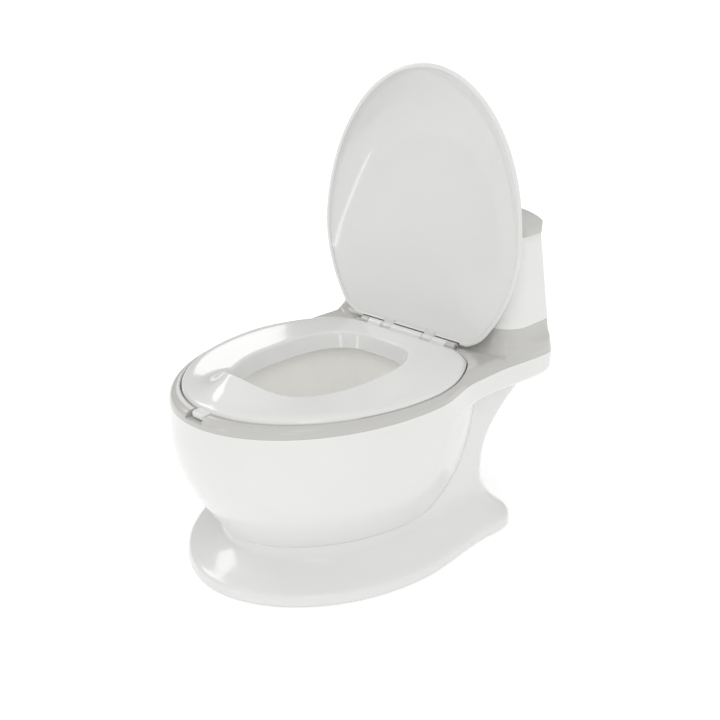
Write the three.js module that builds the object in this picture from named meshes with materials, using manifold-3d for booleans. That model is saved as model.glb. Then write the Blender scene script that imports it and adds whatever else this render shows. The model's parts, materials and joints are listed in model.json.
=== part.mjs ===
// Potty training chair: a small toilet-shaped potty with a hinged lid, a hinged seat, a removable
// bowl and a tank for wipes with a flush-sound button.
// Units are millimetres. +Z is up, the sitter faces -Y and +X is the sitter's left.
import * as THREE from 'three';
import { mergeVertices } from 'three/addons/utils/BufferGeometryUtils.js';
import Module from 'manifold-3d';

const wasm = await Module();
wasm.setup();

// ---------------------------------------------------------------- driving dimensions
const GAP = 0.3; // clearance between pieces that touch
const WALL = 3; // moulded wall thickness
const CENTRE_Y = 7; // middle of the overall length, which becomes Y = 0

// seat and hinge
const SEAT = { halfWidth: 130, front: 171.3, rear: 101.5, rearSpan: 134, corner: 20 };
const SEAT_Z = { bottom: 183, edge: 188.5, top: 193.5 };
const SEAT_WALL = 2.6;
const SEAT_SKIN = 2.8;
const HINGE = { y: 108.4, z: 189, barrel: 5, pin: 2, bore: 2.35, relief: 7.3 };
const KNUCKLE_ROOM = [99, 120]; // y range cut out of the seat behind each lid knuckle
const BARRELS = { centre: [-21.8, 21.8], knuckle: [22.2, 35.8], outer: [36.2, 55.8], post: [56.2, 67] };
const HOLE = { halfWidth: 68, middle: -40, front: 98, rear: 105.5, frontPower: 1.7, rearPower: 3.2 };
const FUNNEL = { halfWidth: 61.5, front: 91, rear: 100.5, bottom: 176 };
const CREST = { height: 21.5, halfSpan: 56 };

// lid
const LID = { overhang: 3.8, rear: 105.4, corner: 13, rim: 191.2, skin: 2.5, lip: 4, middle: -50 };
const LID_DOME = { front: 31.5, loss: 20 };
const LID_OPEN = 93.6; // degrees the lid stands open

// deck, the grey piece between bowl shell and seat
const DECK = { bottom: 178.3, ring: 188, ledge: 180, tongue: 175, taper: 0.11, shoulder: 4, top: 214 };
const BOWL = { halfWidth: 82, middle: -40, front: 112, rear: 120, flange: 2.2, lip: 5, bottom: 72 };

// upper shell: bowl and the shelf under the tank
const SHELL = { halfWidth: 136.5, front: 186, rearReach: 149, rear: 200, corner: 9, neck: 124, shelf: 130.5, bulge: 0.32 };
const SHELL_Z = { top: 178, bottom: 41 };
const SHELL_FOOT = { halfWidth: 104, front: 141 };
const SHELF = { bottom: 150, round: 16 };

// pedestal
const RIM = { halfWidth: 140.5, front: 177, rear: 143.5, corner: 38, span: 141, bottom: 1 };
const NECK = { halfWidth: 102.5, front: 139.5, column: 107, corner: 17, bottom: 31 };
const NECK_TOP = SHELL_Z.bottom - GAP;
const FOOT_PAD = { radius: 7, height: 3.6, boss: 10 };

// tank and its lid
const TANK = { bottom: DECK.top + GAP, top: 308, floor: 3 };
const TANK_LOW = { halfWidth: 123.3, front: 127, rear: 198.5, frontCorner: 27, rearCorner: 8 };
const TANK_HIGH = { halfWidth: 114, front: 143.3, rear: 188.7, frontCorner: 16, rearCorner: 8 };
const TANK_LID = { edge: 9, crown: 18, skin: 2.5 };
const TANK_HINGE = { y: 193.9, z: 307.5, barrel: 3.2, pin: 1.2, bore: 1.5, x: 62, length: 12 };
const TONGUE_PLAY = 0.7; // room between the deck's tongue and the shell wall
const SCOOP = 13; // radius of the hollow between deck and tank

// flush button and its sound unit, all under the middle of the tank lid
const BUTTON = { y: 166, radius: 13, travel: 3, bezel: 16.5, stem: 3.5 };
const SOUND = { halfLength: 75, y: 166, halfDepth: 10, top: 315, bottom: 295.5, wall: 1.5, end: 11 };
const CELL = { radius: 5.2, length: 44, z: 304.3 };

// ---------------------------------------------------------------- materials
function plastic(colour, roughness) {
  return new THREE.MeshStandardMaterial({ color: colour, roughness, metalness: 0 });
}
const white = plastic(0xf1f1ef, 0.22);
const seatWhite = plastic(0xf3f3f2, 0.2);
const warmWhite = plastic(0xefeeea, 0.28);
const grey = plastic(0xc6c6c2, 0.3);
const rubber = plastic(0xb9bab8, 0.85);
const darkPlastic = plastic(0x4a4c4f, 0.6);
const board = plastic(0x2f6b45, 0.5);
const cellWrap = plastic(0x8c9094, 0.4);
const chrome = new THREE.MeshStandardMaterial({ color: 0xd8dadc, roughness: 0.2, metalness: 1 });
const steel = new THREE.MeshStandardMaterial({ color: 0xb9bcc0, roughness: 0.35, metalness: 1 });

// ---------------------------------------------------------------- solids
function solid(geometry) {
  const bare = geometry.clone();
  bare.deleteAttribute('normal');
  bare.deleteAttribute('uv');
  const merged = mergeVertices(bare, 1e-4);
  return new wasm.Manifold(new wasm.Mesh({
    numProp: 3,
    vertProperties: new Float32Array(merged.attributes.position.array),
    triVerts: new Uint32Array(merged.index.array),
  }));
}

function toGeometry(body) {
  const mesh = body.getMesh();
  const geometry = new THREE.BufferGeometry();
  geometry.setAttribute('position', new THREE.BufferAttribute(mesh.vertProperties, 3));
  geometry.setIndex(new THREE.BufferAttribute(mesh.triVerts, 1));
  geometry.computeVertexNormals();
  return geometry;
}

function cut(body, ...tools) {
  return tools.reduce((left, tool) => left.subtract(tool), body);
}

function join(...bodies) {
  return bodies.reduce((left, right) => left.add(right));
}

// Closed surface through a list of closed loops of equal length, with a fan over each end.
function loft(loops) {
  const count = loops[0].length;
  const points = loops.flat();
  const faces = [];
  for (let level = 0; level + 1 < loops.length; level += 1) {
    for (let i = 0; i < count; i += 1) {
      const next = (i + 1) % count;
      const a = level * count + i;
      const b = level * count + next;
      faces.push(a, b, b + count, a, b + count, a + count);
    }
  }
  fan(points, faces, 0, count, true);
  fan(points, faces, (loops.length - 1) * count, count, false);
  return facing(points, faces);
}

function fan(points, faces, start, count, reversed) {
  const middle = new THREE.Vector3();
  for (let i = 0; i < count; i += 1) middle.addScaledVector(points[start + i], 1 / count);
  const hub = points.push(middle) - 1;
  for (let i = 0; i < count; i += 1) {
    const a = start + i;
    const b = start + ((i + 1) % count);
    if (reversed) faces.push(hub, b, a);
    else faces.push(hub, a, b);
  }
}

// Closed ring: a closed section carried round a closed path.
function ringLoft(sections) {
  const count = sections[0].length;
  const faces = [];
  sections.forEach((section, s) => {
    const following = ((s + 1) % sections.length) * count;
    for (let i = 0; i < count; i += 1) {
      const next = (i + 1) % count;
      const a = s * count + i;
      const b = s * count + next;
      faces.push(a, following + i, following + next, a, following + next, b);
    }
  });
  return facing(sections.flat(), faces);
}

// Geometry from points and faces, turned over where its faces point inwards.
function facing(points, faces) {
  let volume = 0;
  for (let i = 0; i < faces.length; i += 3) {
    const [a, b, c] = [points[faces[i]], points[faces[i + 1]], points[faces[i + 2]]];
    volume += a.dot(b.clone().cross(c));
  }
  const order = volume < 0 ? faces.reverse() : faces;
  const geometry = new THREE.BufferGeometry().setFromPoints(points);
  geometry.setIndex(order);
  geometry.computeVertexNormals();
  return geometry;
}

function cylinder(radius, length, [x, y, z], axis = 'z', sides = 18) {
  const geometry = new THREE.CylinderGeometry(radius, radius, length, sides);
  if (axis === 'z') geometry.rotateX(Math.PI / 2);
  if (axis === 'x') geometry.rotateZ(Math.PI / 2);
  geometry.translate(x, y, z);
  return solid(geometry);
}

function box([x0, x1], [y0, y1], [z0, z1]) {
  const geometry = new THREE.BoxGeometry(x1 - x0, y1 - y0, z1 - z0);
  geometry.translate((x0 + x1) / 2, (y0 + y1) / 2, (z0 + z1) / 2);
  return solid(geometry);
}

// A cylinder along X between two x positions on the seat hinge axis.
function hingeCylinder(radius, [x0, x1], sides = 20) {
  return cylinder(radius, x1 - x0, [(x0 + x1) / 2, HINGE.y, HINGE.z], 'x', sides);
}

// ---------------------------------------------------------------- plan outlines
function smooth(t) {
  const s = THREE.MathUtils.clamp(t, 0, 1);
  return s * s * (3 - 2 * s);
}

// Half-width of a superellipse arm at distance d along an arm of length reach.
function arm(d, reach, halfWidth, power = 2) {
  return halfWidth * Math.max(0, 1 - Math.abs(d / reach) ** power) ** (1 / power);
}

// Rounds a half-width off towards a flat rear edge.
function cornered(width, y, rear, radius, span) {
  const into = Math.max(0, (y - rear + radius) / radius);
  const flat = span - radius;
  return flat + (width - flat) * Math.sqrt(Math.max(0, 1 - into * into));
}

// Angles round the plan, closer together at the rear corners. The front is at -90 degrees.
const HALF_ANGLES = (() => {
  const spans = [[-90, 34, 11], [34, 54, 4], [54, 64, 5], [64, 90, 2]];
  const angles = [];
  for (const [from, to, steps] of spans) {
    for (let i = 0; i < steps; i += 1) angles.push(from + ((to - from) * i) / steps);
  }
  return [...angles, 90];
})();
const ANGLES = [
  ...HALF_ANGLES.slice(0, -1),
  ...HALF_ANGLES.slice(1).reverse().map((angle) => 180 - angle),
].map((angle) => THREE.MathUtils.degToRad(angle));

// Outline of a half-width function, found along rays from (0, middle).
function outline(halfWidth, middle, z, angles = ANGLES) {
  return angles.map((angle) => {
    const direction = new THREE.Vector2(Math.cos(angle), Math.sin(angle));
    let inside = 0;
    let outside = 400;
    for (let i = 0; i < 40; i += 1) {
      const r = (inside + outside) / 2;
      if (Math.abs(r * direction.x) < halfWidth(middle + r * direction.y)) inside = r;
      else outside = r;
    }
    return new THREE.Vector3(inside * direction.x, middle + inside * direction.y, z);
  });
}

// Moves a loop outwards by distance, in plan.
function offset(loop, distance, z) {
  return loop.map((point, i) => {
    const before = loop[(i + loop.length - 1) % loop.length];
    const after = loop[(i + 1) % loop.length];
    const along = after.clone().sub(before).setZ(0).normalize();
    return new THREE.Vector3(point.x + along.y * distance, point.y - along.x * distance, z ?? point.z);
  });
}

// Hidden inner faces are built from half of the levels of the outer ones.
function everyOther(list) {
  return list.filter((_, i) => i % 2 === 0);
}

function between(first, second, fraction, z) {
  return first.map((point, i) => point.clone().lerp(second[i], fraction).setZ(z));
}

function atHeight(loop, z) {
  return loop.map((point) => point.clone().setZ(z));
}

function seatHalfWidth(y, grow = 0, rear = SEAT.rear, corner = SEAT.corner, span = 90) {
  const width = y < 0
    ? arm(y, SEAT.front + grow, SEAT.halfWidth + grow)
    : (SEAT.halfWidth + grow) * Math.max(0, 1 - (y / (SEAT.rearSpan + grow)) ** 1.7) ** (1 / 2.3);
  return y > rear ? 0 : cornered(width, y, rear, corner, span);
}

function holeHalfWidth(y, shape) {
  const d = y - HOLE.middle;
  return d < 0
    ? arm(d, shape.front, shape.halfWidth, HOLE.frontPower)
    : arm(d, shape.rear, shape.halfWidth, HOLE.rearPower);
}

function bowlHalfWidth(y, inset) {
  const d = y - BOWL.middle;
  return d < 0
    ? arm(d, BOWL.front - inset, BOWL.halfWidth - inset, 2)
    : arm(d, BOWL.rear - inset, BOWL.halfWidth - inset, 3);
}

// Outline of the upper shell and the deck where they meet, shrunk by inset on every side.
function bodyHalfWidth(y, inset) {
  if (y < 0) return arm(y, SHELL.front - inset, SHELL.halfWidth - inset);
  if (y > SHELL.rear - inset) return 0;
  const neck = (SHELL.halfWidth - SHELL.neck) * smooth(y / 70);
  const tank = (SHELL.shelf - SHELL.neck) * smooth((y - 105) / 80);
  const width = SHELL.halfWidth - neck + tank - inset;
  return cornered(width, y, SHELL.rear - inset, SHELL.corner, SHELL.shelf - inset);
}

const MIDDLE = -10;
const seatLoop = outline((y) => seatHalfWidth(y), HOLE.middle, SEAT_Z.edge);
const holeLoop = outline((y) => holeHalfWidth(y, HOLE), HOLE.middle, SEAT_Z.top);
const funnelLoop = outline((y) => holeHalfWidth(y, FUNNEL), HOLE.middle, FUNNEL.bottom);
const bodyLoop = outline((y) => bodyHalfWidth(y, 0), MIDDLE, SHELL_Z.top);

// ---------------------------------------------------------------- pedestal
// Rear face of the column, as points of (height, y).
const COLUMN_BACK = new THREE.SplineCurve([
  new THREE.Vector2(31, 129),
  new THREE.Vector2(46, 120.5),
  new THREE.Vector2(68, 119),
  new THREE.Vector2(93, 125),
  new THREE.Vector2(111, 138),
  new THREE.Vector2(126, 156),
  new THREE.Vector2(137, 174),
  new THREE.Vector2(150, 191),
]);

function columnBack(z) {
  const samples = COLUMN_BACK.getPoints(80);
  const index = samples.findIndex((point) => point.x >= z);
  if (index <= 0) return samples[0].y;
  const [a, b] = [samples[index - 1], samples[index]];
  return THREE.MathUtils.mapLinear(z, a.x, b.x, a.y, b.y);
}

function neckHalfWidth(y, z) {
  const rear = columnBack(z);
  if (y > rear) return 0;
  if (y < 0) return arm(y, NECK.front, NECK.halfWidth, 1.85);
  const width = NECK.halfWidth + (NECK.column - NECK.halfWidth) * smooth(y / 50);
  return cornered(width, y, rear, NECK.corner, NECK.column);
}

function rimHalfWidth(y) {
  if (y > RIM.rear) return 0;
  if (y < 0) return arm(y, RIM.front, RIM.halfWidth, 1.92);
  const waist = 3 * smooth((y - 72) / 32) - 2.5 * smooth(y / 64);
  return cornered(RIM.halfWidth + waist, y, RIM.rear, RIM.corner, RIM.span);
}

// Height up the flared foot, with the share of the flare that is left there.
const FLARE = [[6, 0.985], [9.5, 0.93], [12, 0.84], [15, 0.68], [19, 0.46], [24.5, 0.22], [29.5, 0.05]];

function pedestalLoops(inset) {
  const grow = -inset;
  const rim = outline(rimHalfWidth, MIDDLE, 0);
  const neckAt = (z) => outline((y) => neckHalfWidth(y, z), MIDDLE, z);
  const neck = neckAt(NECK.bottom);
  const low = inset > 0 ? RIM.bottom - 1 : RIM.bottom;
  const loops = [offset(rim, grow, low)];
  for (const [z, share] of inset > 0 ? everyOther(FLARE) : FLARE) {
    loops.push(offset(between(neck, rim, share, z), grow, z - inset * 0.5));
  }
  for (const z of [46, 68, 93, 113, 131]) loops.push(offset(neckAt(z), grow, z));
  const high = SHELF.bottom - GAP + (inset > 0 ? 1 : 0);
  loops.push(offset(neckAt(SHELF.bottom - GAP), grow, high));
  return loops;
}

const PAD_SPOTS = [[-80, -108], [80, -108], [-114, 116], [114, 116]];
const BASE_SCREW_SPOTS = [[-72, -70], [72, -70], [-84, 60], [84, 60]];

function screwBody([x, y], head, length, radius = 1.6) {
  const shank = cylinder(radius, length, [x, y, head + length / 2 + 1], 'z', 8);
  const cap = cylinder(radius * 2.1, 2, [x, y, head + 1], 'z', 10);
  return join(shank, cap);
}

function pedestal() {
  const outer = solid(loft(pedestalLoops(0)));
  const inner = solid(loft(pedestalLoops(WALL)));
  const neck = outline((y) => neckHalfWidth(y, NECK_TOP), MIDDLE, 0);
  const flange = cut(
    solid(loft([offset(neck, -1, NECK_TOP - 3.2), offset(neck, -1, NECK_TOP)])),
    solid(loft([offset(neck, -34, NECK_TOP - 5), offset(neck, -34, NECK_TOP + 2)])),
  );
  const bosses = PAD_SPOTS.map(([x, y]) => cylinder(FOOT_PAD.boss, 9, [x, y, RIM.bottom + 4.5]));
  const ribs = PAD_SPOTS.map(([x, y]) => padRib(x, y));
  const inside = join(flange, ...bosses, ...ribs).intersect(outer);
  const bored = BASE_SCREW_SPOTS.map(([x, y]) => cylinder(1.95, 20, [x, y, NECK_TOP], 'z', 10));
  const pockets = PAD_SPOTS.map(([x, y]) => cylinder(FOOT_PAD.radius + GAP, 6.4, [x, y, 0.9]));
  return cut(join(cut(outer, inner), inside), shellSolid(GAP), ...bored, ...pockets);
}

// Rib that ties a foot-pad boss to the rim wall beside it.
function padRib(x, y) {
  const reach = x > 0 ? [x, x + 34] : [x - 34, x];
  return box(reach, [y - 1.5, y + 1.5], [RIM.bottom, RIM.bottom + 9]);
}

function footPad([x, y]) {
  return cylinder(FOOT_PAD.radius, FOOT_PAD.height, [x, y, FOOT_PAD.height / 2]);
}

// ---------------------------------------------------------------- upper shell
function shellHalfWidth(y, z) {
  const u = (SHELL_Z.top - z) / (SHELL_Z.top - SHELL_Z.bottom);
  const width = SHELL.halfWidth - (SHELL.halfWidth - SHELL_FOOT.halfWidth) * u ** 2;
  const front = SHELL.front - (SHELL.front - SHELL_FOOT.front) * u ** 2.3;
  const fullness = 2 - 0.2 * u + SHELL.bulge * Math.sin(Math.PI * u);
  if (y < 0) return arm(y, front, width, fullness);
  const rear = columnBack(z) - WALL - 1.5;
  return y > rear ? 0 : Math.min(arm(y, SHELL.rearReach, width), bodyHalfWidth(y, 0));
}

function bowlLoops(grow) {
  const levels = [SHELL_Z.bottom, 44, 50, 60, 74, 94, 118, 152, SHELL_Z.top];
  const used = grow < 0 ? everyOther(levels) : levels;
  return used.map((z, i) => {
    const loop = outline((y) => shellHalfWidth(y, z), MIDDLE, z);
    if (i === 0) return offset(loop, grow, z - grow);
    return offset(loop, grow, z);
  });
}

function shelfLoops(grow) {
  const steps = [0, 15, 35, 60, 90].map((angle) => THREE.MathUtils.degToRad(angle));
  const loops = steps.map((angle) => {
    const inset = SHELF.round * (1 - Math.sin(angle));
    const z = SHELF.bottom + SHELF.round * (1 - Math.cos(angle)) * 0.75;
    return offset(outline((y) => bodyHalfWidth(y, inset), MIDDLE, z), grow, z - grow);
  });
  loops.push(offset(bodyLoop, grow, SHELL_Z.top));
  return loops;
}

// Outer form of the upper shell, grown outwards by grow: the bowl, and the shelf behind it.
function shellSolid(grow) {
  const shelf = solid(loft(shelfLoops(grow)));
  const behind = box([-200, 200], [30, 250], [SHELF.bottom - 20, SHELL_Z.top]);
  return join(solid(loft(bowlLoops(grow))), shelf.intersect(behind));
}

function shellCavity() {
  const bowl = bowlLoops(-WALL);
  bowl.push(atHeight(bowl[bowl.length - 1], SHELL_Z.top + 2));
  const shelf = shelfLoops(-WALL);
  shelf.push(atHeight(shelf[shelf.length - 1], SHELL_Z.top + 2));
  const behind = box([-200, 200], [33, 250], [SHELF.bottom, SHELL_Z.top + 3]);
  return join(solid(loft(bowl)), solid(loft(shelf)).intersect(behind));
}

const SHELF_SCREW_SPOTS = [[-92, 168], [92, 168]];

function bodyShell() {
  const bosses = BASE_SCREW_SPOTS.map(([x, y]) => cylinder(4.5, 9, [x, y, 47], 'z', 16));
  const pilots = BASE_SCREW_SPOTS.map(([x, y]) => cylinder(1.9, 20, [x, y, 39.5], 'z', 10));
  const holes = SHELF_SCREW_SPOTS.map(([x, y]) => cylinder(1.95, 12, [x, y, SHELF.bottom], 'z', 10));
  const hollow = cut(shellSolid(0), shellCavity());
  return cut(join(hollow, ...bosses), ...pilots, ...holes);
}

// ---------------------------------------------------------------- tank outline
function roundedBox({ halfWidth, front, rear, frontCorner, rearCorner }, grow, z, steps = 5) {
  const corners = [
    [halfWidth - frontCorner, front + frontCorner, frontCorner + grow, -90],
    [halfWidth - rearCorner, rear - rearCorner, rearCorner + grow, 0],
    [rearCorner - halfWidth, rear - rearCorner, rearCorner + grow, 90],
    [frontCorner - halfWidth, front + frontCorner, frontCorner + grow, 180],
  ];
  return corners.flatMap(([x, y, radius, start]) => {
    const arc = [];
    for (let i = 0; i <= steps; i += 1) {
      const angle = THREE.MathUtils.degToRad(start + (90 * i) / steps);
      arc.push(new THREE.Vector3(x + radius * Math.cos(angle), y + radius * Math.sin(angle), z));
    }
    return arc;
  });
}

function tankShape(z) {
  const t = (z - TANK.bottom) / (TANK.top - TANK.bottom);
  const shape = {};
  for (const key of Object.keys(TANK_LOW)) {
    shape[key] = THREE.MathUtils.lerp(TANK_LOW[key], TANK_HIGH[key], t);
  }
  return shape;
}

function tankLoop(z, grow, at = z) {
  return roundedBox(tankShape(z), grow, at);
}

// ---------------------------------------------------------------- deck
// Half-width of the deck at a height rise above its lower edge. It leans in more behind the seat.
function deckHalfWidth(y, rise) {
  const height = Math.min(1, rise / (DECK.ring - DECK.bottom));
  const lean = DECK.shoulder * smooth((y - 20) / 45) * (1 - smooth((y - 120) / 45)) * height;
  return Math.max(0, bodyHalfWidth(y, rise * DECK.taper) - lean);
}

function deckWalls() {
  const loops = [DECK.bottom, DECK.ring, 200, DECK.top].map((z) => {
    const rise = z - DECK.bottom;
    return outline((y) => deckHalfWidth(y, rise), MIDDLE, z);
  });
  return solid(loft(loops));
}

// The block that carries the tank, hollowed towards the seat with the scoop radius.
function tankRiser() {
  const loops = [0, 12, 28, 45, 62, 78, 90].map((degrees) => {
    const angle = THREE.MathUtils.degToRad(degrees);
    const z = DECK.ring - 1 + (DECK.top - DECK.ring + 1) * (1 - Math.cos(angle));
    return tankLoop(TANK.bottom, SCOOP * (1 - Math.sin(angle)), z);
  });
  loops.unshift(atHeight(loops[0], DECK.bottom));
  return solid(loft(loops));
}

function seatRecess() {
  const wide = outline((y) => seatHalfWidth(y, 1.3, 103, 21, 92), HOLE.middle, 0);
  return solid(loft([atHeight(wide, DECK.ledge), atHeight(wide, DECK.top)]));
}

function bowlOpening(inset, low, high) {
  const loop = outline((y) => bowlHalfWidth(y, inset), BOWL.middle, 0);
  return solid(loft([atHeight(loop, low), atHeight(loop, high)]));
}

function hingePost([x0, x1]) {
  const foot = box([x0, x1], [HINGE.y - 3.5, HINGE.y + HINGE.barrel], [DECK.ledge - 2, HINGE.z]);
  return join(hingeCylinder(HINGE.barrel, [x0, x1]), foot);
}

function tabNotch() {
  return box([-11.5, 11.5], [-200, -150], [DECK.ledge + 2, DECK.ring + 5]);
}

const TANK_SCREW_SPOTS = [[-70, 160], [70, 160]];

function deck() {
  const base = deckWalls();
  const flat = box([-200, 200], [-220, 230], [DECK.bottom - 1, DECK.ring]);
  const body = join(base.intersect(flat), base.intersect(tankRiser()));
  const tongueLoop = offset(bodyLoop, -WALL - TONGUE_PLAY);
  const tongue = solid(loft([atHeight(tongueLoop, DECK.tongue), atHeight(tongueLoop, DECK.bottom + 1)]));
  const trough = hingeCylinder(HINGE.relief, [-BARRELS.post[0], BARRELS.post[0]]);
  const hollow = solid(loft([
    tankLoop(TANK.bottom, -4, DECK.tongue - 1),
    tankLoop(TANK.bottom, -4, DECK.top - 4),
  ]));
  const carved = cut(
    join(body, tongue),
    seatRecess(),
    bowlOpening(-0.5, DECK.ledge - BOWL.flange - 2 * GAP, DECK.top),
    bowlOpening(BOWL.lip, DECK.tongue - 2, DECK.top),
    trough,
    hollow,
    tabNotch(),
  );
  const posts = [BARRELS.post, BARRELS.post.map((x) => -x).reverse()].map(hingePost);
  const columns = SHELF_SCREW_SPOTS.map(([x, y]) => shelfColumn(x, y));
  return cut(
    join(carved, ...posts, ...columns),
    hingeCylinder(HINGE.bore, [-80, 80], 14),
    ...SHELF_SCREW_SPOTS.map(([x, y]) => cylinder(1.95, 16, [x, y, 158], 'z', 10)),
    ...TANK_SCREW_SPOTS.map(([x, y]) => cylinder(1.95, 10, [x, y, DECK.top - 2], 'z', 10)),
  );
}

// Post from the deck's top plate down to the shelf floor, for the shelf screw.
function shelfColumn(x, y) {
  const low = SHELF.bottom + WALL + GAP;
  const high = DECK.top - 3;
  return cylinder(5, high - low, [x, y, (high + low) / 2], 'z', 14);
}

// ---------------------------------------------------------------- tank
function tank() {
  const outer = solid(loft([tankLoop(TANK.bottom, 0), tankLoop(TANK.top, 0)]));
  const floor = TANK.bottom + TANK.floor;
  const inner = solid(loft([
    tankLoop(floor, -WALL),
    tankLoop(TANK.top, -WALL, TANK.top + 1),
  ]));
  const bosses = TANK_SCREW_SPOTS.map(([x, y]) => cylinder(4.5, 9, [x, y, floor + 4], 'z', 14));
  const pilots = TANK_SCREW_SPOTS.map(([x, y]) => cylinder(1.9, 14, [x, y, TANK.bottom + 3], 'z', 10));
  const lugs = [-1, 1].flatMap((side) => [-1, 1].map((end) => tankLug(side * TANK_HINGE.x + end * 8)));
  const bores = [-1, 1].map((side) => tankHingeCylinder(TANK_HINGE.bore, side * TANK_HINGE.x, 30));
  return cut(join(cut(outer, inner), ...bosses, ...lugs), ...pilots, ...bores);
}

function tankHingeCylinder(radius, x, length, sides = 14) {
  return cylinder(radius, length, [x, TANK_HINGE.y, TANK_HINGE.z], 'x', sides);
}

function tankLidPin(x) {
  return tankHingeCylinder(TANK_HINGE.pin, x, 20, 10);
}

function tankLug(x) {
  const { y, z, barrel } = TANK_HINGE;
  const web = box([x - 2, x + 2], [y - barrel - 3, y], [z - 11, z - 1]);
  const strut = box([x - 2, x + 2], [y - 1, y + barrel - 0.6], [z - 9, z]);
  return join(tankHingeCylinder(barrel, x, 4), web, strut);
}

// ---------------------------------------------------------------- tank lid
function crownHeight(x, y, drop) {
  const shape = TANK_HIGH;
  const middle = (shape.front + shape.rear) / 2;
  const u = Math.abs(x) / (shape.halfWidth + 1);
  const v = Math.abs(y - middle) / ((shape.rear - shape.front) / 2 + 1);
  const along = Math.sqrt(1 - Math.min(1, u) ** 8) * (1 - 0.22 * u * u);
  const across = (1 - Math.min(1, v) ** 3.5) ** 0.6;
  return TANK.top + TANK_LID.edge + TANK_LID.crown * along * across - drop;
}

function crownLoops(grow, drop, shares) {
  const edge = roundedBox(TANK_HIGH, grow, 0);
  const middle = new THREE.Vector3(0, (TANK_HIGH.front + TANK_HIGH.rear) / 2, 0);
  return shares.map((share) => edge.map((point) => {
    const moved = middle.clone().lerp(point, share);
    moved.x = THREE.MathUtils.lerp(point.x, moved.x, 0.35 + 0.65 * (1 - share));
    moved.z = crownHeight(moved.x, moved.y, drop);
    return moved;
  }));
}

function tankLid() {
  const shares = [0.97, 0.88, 0.7, 0.45, 0.15];
  const low = TANK.top + GAP;
  const outer = solid(loft([
    roundedBox(TANK_HIGH, 0.6, low),
    roundedBox(TANK_HIGH, 1, low + 1),
    roundedBox(TANK_HIGH, 1, low + TANK_LID.edge - 1.5),
    ...crownLoops(0.6, 0, shares),
  ]));
  const inner = solid(loft([
    roundedBox(TANK_HIGH, -2.5, low - 1),
    roundedBox(TANK_HIGH, -2.5, low + TANK_LID.edge - 2.5),
    ...crownLoops(-2.5, TANK_LID.skin, shares),
  ]));
  const knuckles = [-1, 1].map((side) => tankLidKnuckle(side * TANK_HINGE.x));
  const top = buttonTop();
  const well = cylinder(BUTTON.bezel - 1, 14, [0, BUTTON.y, top - 7]);
  const wellRoom = cylinder(BUTTON.radius + 0.4, 10.4, [0, BUTTON.y, top - 2.8]);
  const stemHole = cylinder(BUTTON.stem + 0.4, 30, [0, BUTTON.y, top - 10], 'z', 16);
  const bezelSeat = cylinder(BUTTON.bezel + GAP, 8, [0, BUTTON.y, top + 1.2]);
  const bores = [-1, 1].map((side) => tankHingeCylinder(TANK_HINGE.bore, side * TANK_HINGE.x, 30));
  const shell = join(cut(outer, inner), join(well, ...soundPegs()).intersect(outer));
  return cut(join(shell, ...knuckles), wellRoom, stemHole, bezelSeat, ...bores, ...pegHoles());
}

function buttonTop() {
  return crownHeight(0, BUTTON.y, 0);
}

function tankLidKnuckle(x) {
  const { y, z, barrel, length } = TANK_HINGE;
  const low = TANK.top + GAP;
  const web = box([x - length / 2 + 0.3, x + length / 2 - 0.3], [y - barrel - 2, y], [low, low + 2.2]);
  return join(tankHingeCylinder(barrel, x, length - 0.6), web);
}

// Two pegs under the tank lid hold the sound unit by its end screws.
const PEG_SPOTS = [-1, 1].map((side) => [side * (SOUND.halfLength - SOUND.end / 2), SOUND.y]);

function soundPegs() {
  return PEG_SPOTS.map(([x, y]) => cylinder(3.2, 30, [x, y, SOUND.top + GAP + 15], 'z', 12));
}

function pegHoles() {
  return PEG_SPOTS.map(([x, y]) => cylinder(1.3, 14, [x, y, SOUND.top + 3], 'z', 8));
}

// ---------------------------------------------------------------- flush button and sound unit
function flushButton() {
  const top = buttonTop();
  const cap = solid(loft([
    circle(BUTTON.radius - 0.2, top - 3.2),
    circle(BUTTON.radius, top - 2.6),
    circle(BUTTON.radius, top + 0.6),
    circle(BUTTON.radius - 1.4, top + 1.7),
    circle(BUTTON.radius * 0.5, top + 1.4),
  ]));
  const middle = [0, BUTTON.y, top - 3.3];
  const cupRoom = cut(cylinder(7.5, 3, middle), cylinder(4.2, 4, middle));
  const stemLow = SOUND.top + GAP;
  const stem = cylinder(BUTTON.stem, top - 2 - stemLow, [0, BUTTON.y, (top - 2 + stemLow) / 2], 'z', 16);
  return join(cut(cap, cupRoom), stem);
}

function circle(radius, z, sides = 24) {
  const loop = [];
  for (let i = 0; i < sides; i += 1) {
    const angle = (2 * Math.PI * i) / sides;
    loop.push(new THREE.Vector3(radius * Math.cos(angle), BUTTON.y + radius * Math.sin(angle), z));
  }
  return loop;
}

// Coil spring under the flush button, drawn at the length it has when the button is down.
function buttonSpring() {
  const low = buttonTop() - 7.7;
  const coil = new THREE.Curve();
  coil.getPoint = (t) => {
    const angle = 2 * Math.PI * 2.5 * t;
    return new THREE.Vector3(5.9 * Math.cos(angle), BUTTON.y + 5.9 * Math.sin(angle), low + 0.4 + 1.9 * t);
  };
  const wire = new THREE.Shape();
  wire.absarc(0, 0, 0.35, 0, 2 * Math.PI);
  const geometry = new THREE.ExtrudeGeometry(wire, { steps: 32, curveSegments: 2, extrudePath: coil });
  return toGeometry(solid(geometry));
}

function bezel() {
  const top = buttonTop();
  const profile = [
    [BUTTON.radius + 0.5, -2.4],
    [BUTTON.bezel, -2.4],
    [BUTTON.bezel, 0.4],
    [BUTTON.bezel - 1.2, 1.2],
    [BUTTON.radius + 0.5, 0.4],
    [BUTTON.radius + 0.5, -2.4],
  ].map(([x, y]) => new THREE.Vector2(x, y));
  const geometry = new THREE.LatheGeometry(profile, 24);
  geometry.rotateX(Math.PI / 2);
  geometry.translate(0, BUTTON.y, top);
  return geometry;
}

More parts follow.
